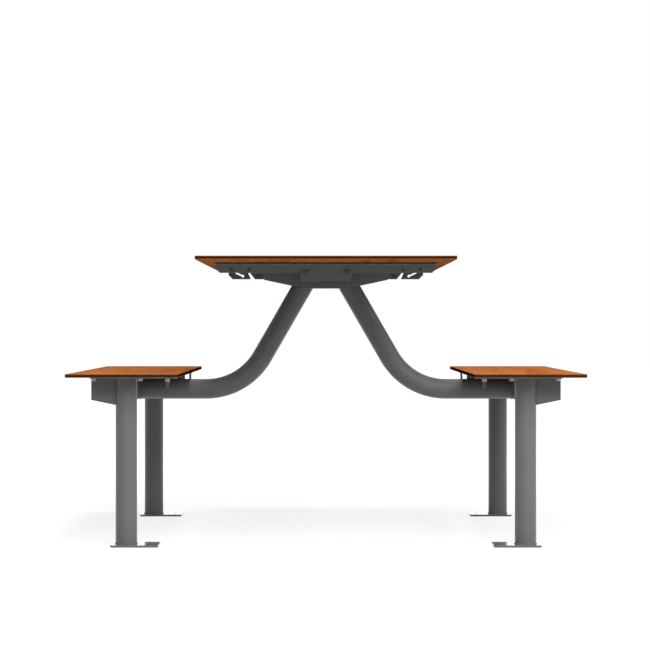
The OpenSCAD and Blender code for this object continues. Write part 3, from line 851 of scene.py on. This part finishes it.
def post_hole(post_node, low_z, high_z):
    """A rod as wide as a post and its weld gap, to cope a sheet round it."""
    low, high = corners_of(post_node)
    x, y = (low.x + high.x) / 2, (low.y + high.y) / 2
    radius = (high.x - low.x) / 2 + WELD_GAP
    return start_rod((x, y, low_z - MM), (x, y, high_z + MM), radius, sides=RING_SIDES)


def seat_rail():
    """The right seat rail: a trough folded from sheet, coped round both posts."""
    low, high = corners_of("right_seat_rail")
    chain = [(low.x, low.y, high.z), (low.x, low.y, low.z), (low.x + RAIL_FLAT, low.y, low.z),
             (high.x, low.y, high.z - RAIL_OUT_H), (high.x, low.y, high.z)]
    rail = start_outline(chain, closed=False)
    round_corners(chain[1:4], FOLD_R + RAIL_T)
    thicken((0.0, high.y - low.y, 0.0))
    face_outwards(rail, Vector((low.x, 0.0, (low.z + high.z) / 2)), Vector((-1.0, 0.0, 0.0)))
    close_up()
    apply_modifier(rail, "SOLIDIFY", thickness=RAIL_T, offset=-1.0, use_even_offset=True)
    for post_node in ("front_right_post", "rear_right_post"):
        cut(rail, post_hole(post_node, low.z, high.z))
    break_edges(rail, SHEET_EDGE)
    return smooth(rail)


def rail_wing():
    """The right rear wing that closes the rail beside its post, with the beads that hold it."""
    low, high = corners_of("rear_right_rail_wing")
    chain = [(low.x, low.y, high.z), (low.x, low.y, low.z),
             (high.x, low.y, high.z - RAIL_OUT_H), (high.x, low.y, high.z)]
    wing = start_outline(chain)
    thicken((0.0, high.y - low.y, 0.0))
    close_up()
    cut(wing, post_hole("rear_right_post", low.z, high.z))
    break_edges(wing, SHEET_EDGE)
    seam_x = corners_of("rear_right_post")[1].x + BEAD_SINK
    seam_y = high.y + BEAD_SINK
    bead = weld_line((seam_x, seam_y, low.z + BEAD_R), (seam_x, seam_y, high.z - BEAD_R))
    return weld_together([smooth(wing), bead])


def flat_plate(node, name, corner_r):
    """Hangs a cut plate that lies flat, with round corners and broken edges."""
    plate = round_plate(node, corner_r)
    hang(smooth(break_edges(plate, PLATE_EDGE)), name, "frame_paint", node)


def saddle(node, name):
    """The short web between a tube and its middle seat plate, welded below and above."""
    low, high = corners_of(node)
    web = smooth(break_edges(start_box(low, high), SHEET_EDGE))
    beads = []
    for y in (low.y - BEAD_SINK, high.y + BEAD_SINK):
        for z in (low.z + BEAD_SINK, high.z - BEAD_SINK):
            beads.append(weld_line((low.x + SADDLE_BEAD_IN, y, z), (high.x - SADDLE_BEAD_IN, y, z)))
    hang(weld_together([web] + beads), name, "frame_paint", node)


# Arms and strip

def arm_plate():
    """The rear arm plate, cut to its outline and welded to both tube heads."""
    low, high = corners_of("rear_arm_plate")
    tube = tube_course()
    tube_x = tube["foot_x"] + (high.z - low.z) * math.tan(tube["lean"])
    half = [(ARM_FLAT, low.z), (high.x, high.z + STRIP_T - ARM_TIP_H), (high.x, high.z)]
    chain = both_sides(half, low.y)
    plate = start_outline(chain)
    round_corners([chain[1], chain[4]], ARM_TIP_R, steps=3)
    round_corners([chain[0], chain[-1]], ARM_FOOT_R)
    thicken((0.0, high.y - low.y, 0.0))
    close_up()
    smooth(break_edges(plate, PLATE_EDGE))
    inner, outer = tube_x - ARM_SEAM / 2, tube_x + ARM_SEAM / 2
    beads = [weld_line((side * inner, low.y, low.z), (side * outer, low.y, low.z + MM)) for side in (-1, 1)]
    return weld_together([plate] + beads)


# Cross-members and beams

def drill_web(sheet, x, z, width):
    """A round hole through the rear web."""
    y = corners_of("rear_cross_member")[0].y
    cut(sheet, start_rod((x, y - MM, z), (x, y + CROSS_T + MM, z), width / 2, sides=32))


def cut_web(sheet, outline):
    """Cuts an outline, given by its places in X and Z, through the rear web."""
    y = corners_of("rear_cross_member")[0].y
    cutter = start_outline([(x, y - MM, z) for x, z in outline])
    thicken((0.0, CROSS_T + 2 * MM, 0.0))
    close_up()
    cut(sheet, cutter)


def cross_member():
    """The rear cross-member without its slots: a web with a middle tab, and a flange folded at the top whose
    free edge is painted near-black as shade.
    """
    low, high = corners_of("rear_cross_member")
    web_low = high.z - CROSS_H
    tab = TAB_W / 2
    half = [(tab, low.z), (tab, web_low), (high.x - CROSS_CHAM, web_low), (high.x, web_low + CROSS_CHAM),
            (high.x, high.z)]
    chain = both_sides(half, low.y)
    sheet = start_outline(chain)
    round_corners([chain[0], chain[-1]], TAB_R, steps=7)
    round_corners([chain[1], chain[-2]], TAB_ROOT_R, steps=4)
    pick("EDGE", lambda edge: middle(edge).z > high.z - HAIR)
    bpy.ops.mesh.extrude_region_move(TRANSFORM_OT_translate={"value": (0.0, high.y - low.y, 0.0)})
    pick("EDGE", lambda edge: len(edge.link_faces) == 2 and middle(edge).z > high.z - HAIR)
    bpy.ops.mesh.bevel(offset=FOLD_R + CROSS_T, segments=6)
    face_outwards(sheet, Vector((0.0, low.y, (low.z + high.z) / 2)), Vector((0.0, -1.0, 0.0)))
    close_up()
    apply_modifier(sheet, "SOLIDIFY", thickness=CROSS_T, offset=-1.0, use_even_offset=True)
    for side in (-1, 1):
        for x in (high.x - WEB_HOLE_IN, high.x - WEB_HOLE_IN - WEB_HOLE_DX):
            drill_web(sheet, side * x, web_low + WEB_HOLE_UP, WEB_HOLE_D)
    # The flange's free edge takes the near-black strip, a painted shade of the gap under the board.
    sheet.data.materials.append(PAINT)
    sheet.data.materials.append(SHADE_STRIP)
    open_up(sheet)
    pick("FACE", lambda face: middle(face).y > high.y - HAIR)
    sheet.active_material_index = 1
    bpy.ops.object.material_slot_assign()
    close_up()
    return sheet


def key_slot(sheet, side):
    """Makes the outer hole of the web on one side a keyhole, with a slot that rises towards the web's end."""
    high = corners_of("rear_cross_member")[1]
    hole = Vector((high.x - WEB_HOLE_IN, 0.0, high.z - CROSS_H + WEB_HOLE_UP))
    along = Vector((math.cos(KEY_SLOPE), 0.0, math.sin(KEY_SLOPE)))
    across = Vector((-along.z, 0.0, along.x)) * KEY_W / 2
    tip = hole + along * KEY_LEN
    chain = [hole - across, tip - across, tip + across, hole + across]
    cut_web(sheet, [(side * place.x, place.z) for place in chain])
    drill_web(sheet, side * tip.x, tip.z, KEY_W)


def web_notch(sheet, side):
    """Cuts the slanted notch that opens at the web's lower edge on one side."""
    high = corners_of("rear_cross_member")[1]
    top_x, top_z = high.x - NOTCH_IN, high.z - NOTCH_DROP
    foot_x, foot_z = top_x - NOTCH_RUN, high.z - CROSS_H
    chain = [(top_x - NOTCH_TOP_W / 2, top_z), (top_x + NOTCH_TOP_W / 2, top_z),
             (foot_x + NOTCH_LOW_W / 2, foot_z), (foot_x + NOTCH_LOW_W / 2, foot_z - MM),
             (foot_x - NOTCH_LOW_W / 2, foot_z - MM), (foot_x - NOTCH_LOW_W / 2, foot_z)]
    cut_web(sheet, [(side * x, z) for x, z in chain])
    drill_web(sheet, side * top_x, top_z, NOTCH_TOP_W)


def painted_shade_discs(web_y, offsets):
    """Thin dark discs in a web's spare holes, a painted shade for the dark seen through them. web_y is the
    web's face that is lower along Y.
    """
    high = corners_of("rear_cross_member")[1]
    z = high.z - CROSS_H + WEB_HOLE_UP
    shade_discs = []
    for side in (-1, 1):
        for offset in offsets:
            x = side * (high.x - WEB_HOLE_IN - offset)
            shade_disc = start_rod((x, web_y + SHADE_DISC_IN, z), (x, web_y + CROSS_T - SHADE_DISC_IN, z), WEB_HOLE_D / 2)
            shade_disc.data.materials.append(SHADE_DISC_FINISH)
            shade_discs.append(smooth(break_edges(shade_disc, SHADE_DISC_EDGE)))
    return shade_discs


def cross_members():
    """Both cross-members. The rear one also has its slots, and dark discs, as painted shade, fill the holes
    that no slot opens.
    """
    rear = cross_member()
    front = twin(rear, (1.0, -1.0, 1.0))
    for side in (-1, 1):
        key_slot(rear, side)
        web_notch(rear, side)
    web_y = corners_of("rear_cross_member")[0].y
    smooth(break_edges(rear, PLATE_EDGE))
    smooth(break_edges(front, PLATE_EDGE))
    # Dark discs in the spare holes are painted shade: the rear web's inner holes and both front holes.
    rear = weld_together([rear] + painted_shade_discs(web_y, [WEB_HOLE_DX]))
    front = weld_together([front] + painted_shade_discs(-web_y - CROSS_T, [0.0, WEB_HOLE_DX]))
    hang(front, "front_cross_sheet", "frame_paint", "front_cross_member")
    hang(rear, "rear_cross_sheet", "frame_paint", "rear_cross_member")


def beam():
    """The rear beam: a lipped channel, open below, with welded end tabs."""
    low, high = corners_of("rear_beam")
    chain = [(low.x + BEAM_LIP, low.y, low.z), (low.x, low.y, low.z), (low.x, low.y, high.z),
             (high.x, low.y, high.z), (high.x, low.y, low.z), (high.x - BEAM_LIP, low.y, low.z)]
    channel = start_outline(chain, closed=False)
    round_corners(chain[1:5], FOLD_R + BEAM_T)
    thicken((0.0, high.y - low.y, 0.0))
    face_outwards(channel, Vector((0.0, 0.0, high.z)), Vector((0.0, 0.0, 1.0)))
    close_up()
    apply_modifier(channel, "SOLIDIFY", thickness=BEAM_T, offset=-1.0, use_even_offset=True)
    tabs = [((low.x + MM, high.y - BEAM_T), (low.x + BEAM_TAB, high.y)),
            ((high.x - BEAM_TAB, high.y - BEAM_T), (high.x - MM, high.y)),
            ((-BEAM_END_TAB / 2, low.y), (BEAM_END_TAB / 2, low.y + BEAM_T))]
    plates = [start_box((*a, low.z + MM), (*b, high.z - MM)) for a, b in tabs]
    welded = weld_together([smooth(break_edges(piece, SHEET_EDGE)) for piece in [channel] + plates])
    welded.data.materials.append(BEAM_PAINT)
    return welded


# Fasteners, each modelled once, pointing up from z = 0

def hexagon(low, high, both_ends):
    """A hexagon prism with its corners chamfered at the lower face, or at both."""
    across = HEX_W / 2 / math.cos(math.pi / 6)
    prism = start_rod((0, 0, low), (0, 0, high), across, sides=6)
    turned = start_rod((0, 0, low), (0, 0, high + (0.0 if both_ends else MM)), across - HEX_TURN_IN, sides=36)
    open_up(turned)
    pick("EDGE", lambda edge: len({corner.co.z for corner in edge.verts}) == 1
         and (both_ends or edge.verts[0].co.z < low + HAIR))
    bpy.ops.mesh.bevel(offset=HEX_CHAMFER, segments=1)
    close_up()
    return cut(prism, turned, "INTERSECT")


def threaded_rod(length):
    """A length of helical bolt thread, closed at both ends."""
    radius = BOLT_D / 2
    root = radius - THREAD_DEPTH
    rod = start_outline([(root, 0.0, -PITCH), (radius, 0.0, -PITCH / 2), (root, 0.0, 0.0)], closed=False)
    close_up()
    apply_modifier(rod, "SCREW", axis="Z", screw_offset=PITCH, iterations=math.ceil(length / PITCH) + 1,
                   steps=16, render_steps=16, use_merge_vertices=True, merge_threshold=HAIR)
    open_up(rod)
    for z, up in ((length, 1.0), (0.0, -1.0)):
        bpy.ops.mesh.select_all(action="SELECT")
        bpy.ops.mesh.bisect(plane_co=(0, 0, z), plane_no=(0, 0, up), clear_outer=True, use_fill=True)
    turn_out()
    close_up()
    return rod


def hex_bolt(length):
    """A bolt with its washer face at z = 0 and its last stretch threaded."""
    plain = length - THREAD_LEN
    shank = start_rod((0, 0, -MM), (0, 0, plain + MM / 2), BOLT_D / 2, sides=32)
    thread = threaded_rod(THREAD_LEN)
    thread.location.z = plain
    head = hexagon(-HEX_H, 0, both_ends=False)
    return weld_together([smooth(head), smooth(shank), smooth(settle(thread), THREAD_CREASE)])


def hex_nut():
    """A nut from z = 0 to its height, chamfered at both faces."""
    nut = hexagon(0, NUT_H, both_ends=True)
    cut(nut, start_rod((0, 0, -MM), (0, 0, NUT_H + MM), BOLT_D / 2 + THREAD_PLAY, sides=32))
    return smooth(nut)


def washer(screw_d):
    """A flat washer for a screw, from z = 0 up."""
    ring = start_rod((0, 0, 0), (0, 0, WASHER_T), screw_d / 2 + WASHER_RIM)
    cut(ring, start_rod((0, 0, -MM), (0, 0, WASHER_T + MM), screw_d / 2 + HOLE_PLAY, sides=32))
    return smooth(break_edges(ring, WASHER_EDGE, steps=1))


def button_screw(length):
    """A domed screw with a hexagon socket, its head below z = 0."""
    dome_r = ((SCREW_HEAD_D / 2) ** 2 + SCREW_HEAD_H ** 2) / (2 * SCREW_HEAD_H)
    bpy.ops.object.select_all(action="DESELECT")
    bpy.ops.mesh.primitive_uv_sphere_add(segments=32, ring_count=48, radius=dome_r,
                                         location=(0.0, 0.0, dome_r - SCREW_HEAD_H))
    dome = settle(bpy.context.object)
    open_up(dome)
    bpy.ops.mesh.select_all(action="SELECT")
    bpy.ops.mesh.bisect(plane_co=(0, 0, 0), plane_no=(0, 0, 1), clear_outer=True, use_fill=True)
    close_up()
    cut(dome, start_rod((0, 0, -SCREW_HEAD_H - MM), (0, 0, -SOCKET_FLOOR),
                        SOCKET_W / 2 / math.cos(math.pi / 6), sides=6))
    shank = start_rod((0, 0, -MM), (0, 0, length), SCREW_D / 2, sides=24)
    return weld_together([smooth(dome), smooth(shank)])


def set_of(original, spots):
    """Copies of a fastener at their spots, each a place and an upward direction, as one piece."""
    copies = []
    for place, up in spots:
        copy = copy_of(original)
        copy.location = place
        copy.rotation_euler = Vector(up).to_track_quat("Z", "Y").to_euler()
        copies.append(settle(copy))
    bpy.data.objects.remove(original, do_unlink=True)
    return weld_together(copies)


def upright_spots(node, head):
    """Middle of each solid's lower face, raised by the head's height and pointing up."""
    return [(((a.x + b.x) / 2, (a.y + b.y) / 2, a.z + head), (0, 0, 1)) for a, b in solids_of(node)]


def level_spots(node, head):
    """Middle of each solid's outer face along Y, moved in by the head's height and pointing inwards."""
    spots = []
    for a, b in solids_of(node):
        inward = -1 if a.y > 0.0 else 1
        y = (b.y if a.y > 0.0 else a.y) + inward * head
        spots.append((((a.x + b.x) / 2, y, (a.z + b.z) / 2), (0, inward, 0)))
    return spots


def size_of(node):
    """Size of a node's first solid."""
    low, high = solids_of(node)[0]
    return high - low


def fasteners(original, name, slot, node, spots=upright_spots, head=0.0):
    """Hangs a fastener's copies at their node's spots as one piece."""
    hang(set_of(original, spots(node, head)), name, slot, node)


# Studio

def studio_floor():
    """Pale floor that shows white to the camera, keeps the object's shadow and throws a little light up."""
    bpy.ops.object.select_all(action="DESELECT")
    bpy.ops.mesh.primitive_plane_add(size=FLOOR_SIZE, location=(0.0, 0.0, -FLOOR_DROP))
    floor = settle(bpy.context.object)
    floor.name = "studio_floor"
    material = bpy.data.materials.new("pale_floor")
    material.use_nodes = True
    tree = material.node_tree
    tree.nodes.clear()
    matt = add_node(tree, "ShaderNodeBsdfDiffuse", Color=(FLOOR_GREY, FLOOR_GREY, FLOOR_GREY, 1))
    glow = add_node(tree, "ShaderNodeEmission", Color=(1, 1, 1, 1))
    path = tree.nodes.new("ShaderNodeLightPath")
    seen = calculate(tree, "MAXIMUM", path.outputs["Is Camera Ray"], path.outputs["Is Glossy Ray"])
    seen = calculate(tree, "MAXIMUM", seen, path.outputs["Is Transmission Ray"])
    away = add_node(tree, "ShaderNodeVectorMath", {"operation": "LENGTH"})
    wire(tree, piece_place(tree), away.inputs[0])
    far = calculate(tree, "MULTIPLY", away.outputs["Value"], 1.0 / FLOOR_FAR)
    white = calculate(tree, "MULTIPLY", seen, ramp(tree, far, [(0.35, 0.76), (0.9, 1.0)]))
    wire(tree, calculate(tree, "MAXIMUM", white, FLOOR_FILL), glow.inputs["Strength"])
    both = tree.nodes.new("ShaderNodeAddShader")
    wire(tree, matt.outputs["BSDF"], both.inputs[0])
    wire(tree, glow.outputs["Emission"], both.inputs[1])
    wire(tree, both.outputs["Shader"], tree.nodes.new("ShaderNodeOutputMaterial").inputs["Surface"])
    floor.data.materials.append(material)


def studio_world(fill, backdrop):
    """White surroundings with a weak fill from all sides, and a bright backdrop in what shines."""
    world = bpy.data.worlds.new("studio")
    bpy.context.scene.world = world
    world.use_nodes = True
    tree = world.node_tree
    ground = tree.nodes["Background"]
    ground.inputs["Color"].default_value = (1, 1, 1, 1)
    path = tree.nodes.new("ShaderNodeLightPath")
    seen = calculate(tree, "MAXIMUM", path.outputs["Is Camera Ray"], path.outputs["Is Transmission Ray"])
    way = tree.nodes.new("ShaderNodeSeparateXYZ")
    wire(tree, tree.nodes.new("ShaderNodeTexCoord").outputs["Generated"], way.inputs["Vector"])
    behind = calculate(tree, "POWER", calculate(tree, "MAXIMUM", way.outputs["Y"], 0.0), 3.0)
    glow = calculate(tree, "MULTIPLY", behind, backdrop)
    shine = calculate(tree, "MULTIPLY", glow, path.outputs["Is Glossy Ray"])
    plain = calculate(tree, "MAXIMUM", seen, fill)
    wire(tree, calculate(tree, "MAXIMUM", plain, shine), ground.inputs["Strength"])


def soft_light(name, place, aim, size, power):
    """A square area lamp that looks at a point."""
    bpy.ops.object.light_add(type="AREA", location=place)
    lamp = bpy.context.object
    lamp.name = name
    lamp.data.size = size
    lamp.data.energy = power
    lamp.rotation_euler = (Vector(aim) - Vector(place)).to_track_quat("-Z", "Y").to_euler()


def studio_camera():
    bpy.ops.object.camera_add(location=EYE, rotation=(math.radians(90.0), 0.0, 0.0))
    camera = bpy.context.object
    camera.data.sensor_width = SENSOR_W
    camera.data.lens = LENS
    camera.data.clip_end = SIGHT
    bpy.context.scene.camera = camera


# Setting up the studio

bpy.context.scene.view_settings.view_transform = "Standard"
studio_camera()
studio_floor()
studio_world(fill=0.36, backdrop=1.6)
soft_light("front_key", place=(1.2, -5.0, 4.0), aim=(0.0, 0.0, 0.3), size=4.5, power=405.0)
soft_light("right_softbox", place=(5.0, -1.5, 2.0), aim=(0.0, 0.0, 0.4), size=3.0, power=55.0)
soft_light("overhead", place=(0.0, 0.6, 5.0), aim=(0.0, 0.0, 0.5), size=0.8, power=66.0)
finish_frame_nodes()

# Making the table

compact_board("table_board", "table_laminate", "table_board_inserts")
compact_board("left_seat_board", "left_seat_laminate", "seat_inserts")
compact_board("right_seat_board", "right_seat_laminate", "seat_inserts")
bent_tubes()
for end in ENDS:
    for side in SIDES:
        corner = end + "_" + side
        post(corner + "_post", corner + "_post_tube")
        base_plate(corner + "_base_plate", corner + "_foot", corner + "_post")
        flat_plate(corner + "_seat_plate", corner + "_seat_lug", SEAT_PLATE_R)
for side in SIDES:
    flat_plate("middle_" + side + "_seat_plate", "middle_" + side + "_seat_lug", SEAT_PLATE_R)
    saddle(side + "_plate_saddle", side + "_saddle_web")
hang_pair(seat_rail(), "folded_rail", "seat_rail", SIDES)
hang_all_round(rail_wing(), "rail_end", "rail_wing")
hang_pair(arm_plate(), "arm", "arm_plate", ENDS)
flat_plate("arm_top_strip", "head_strip", STRIP_R)
cross_members()
hang_pair(beam(), "channel", "beam", ENDS)

# Fastening it

seat_bolt = hex_bolt(size_of("seat_bolts").z - HEX_H)
fasteners(seat_bolt, "seat_hex_bolts", "zinc_plate", "seat_bolts", head=HEX_H)
fasteners(washer(BOLT_D), "seat_flat_washers", "zinc_plate", "seat_washers")
seat_stud = smooth(threaded_rod(size_of("seat_studs").z), THREAD_CREASE)
fasteners(seat_stud, "seat_threaded_studs", "zinc_plate", "seat_studs")
fasteners(hex_nut(), "seat_hex_nuts", "zinc_plate", "seat_stud_nuts")
for bolts, nuts, name in (("cross_member_bolts", "cross_member_nuts", "cross_sheet"),
                          ("beam_end_bolts", "beam_end_nuts", "arm")):
    frame_bolt = hex_bolt(size_of(bolts).y - HEX_H)
    fasteners(frame_bolt, name + "_bolts", "black_zinc", bolts, level_spots, HEX_H)
    fasteners(hex_nut(), name + "_nuts", "black_zinc", nuts, level_spots)
table_screw = button_screw(size_of("table_board_screws").z - SCREW_HEAD_H)
fasteners(table_screw, "table_button_screws", "black_zinc", "table_board_screws", head=SCREW_HEAD_H)
fasteners(washer(SCREW_D), "table_flat_washers", "black_zinc", "table_board_washers")
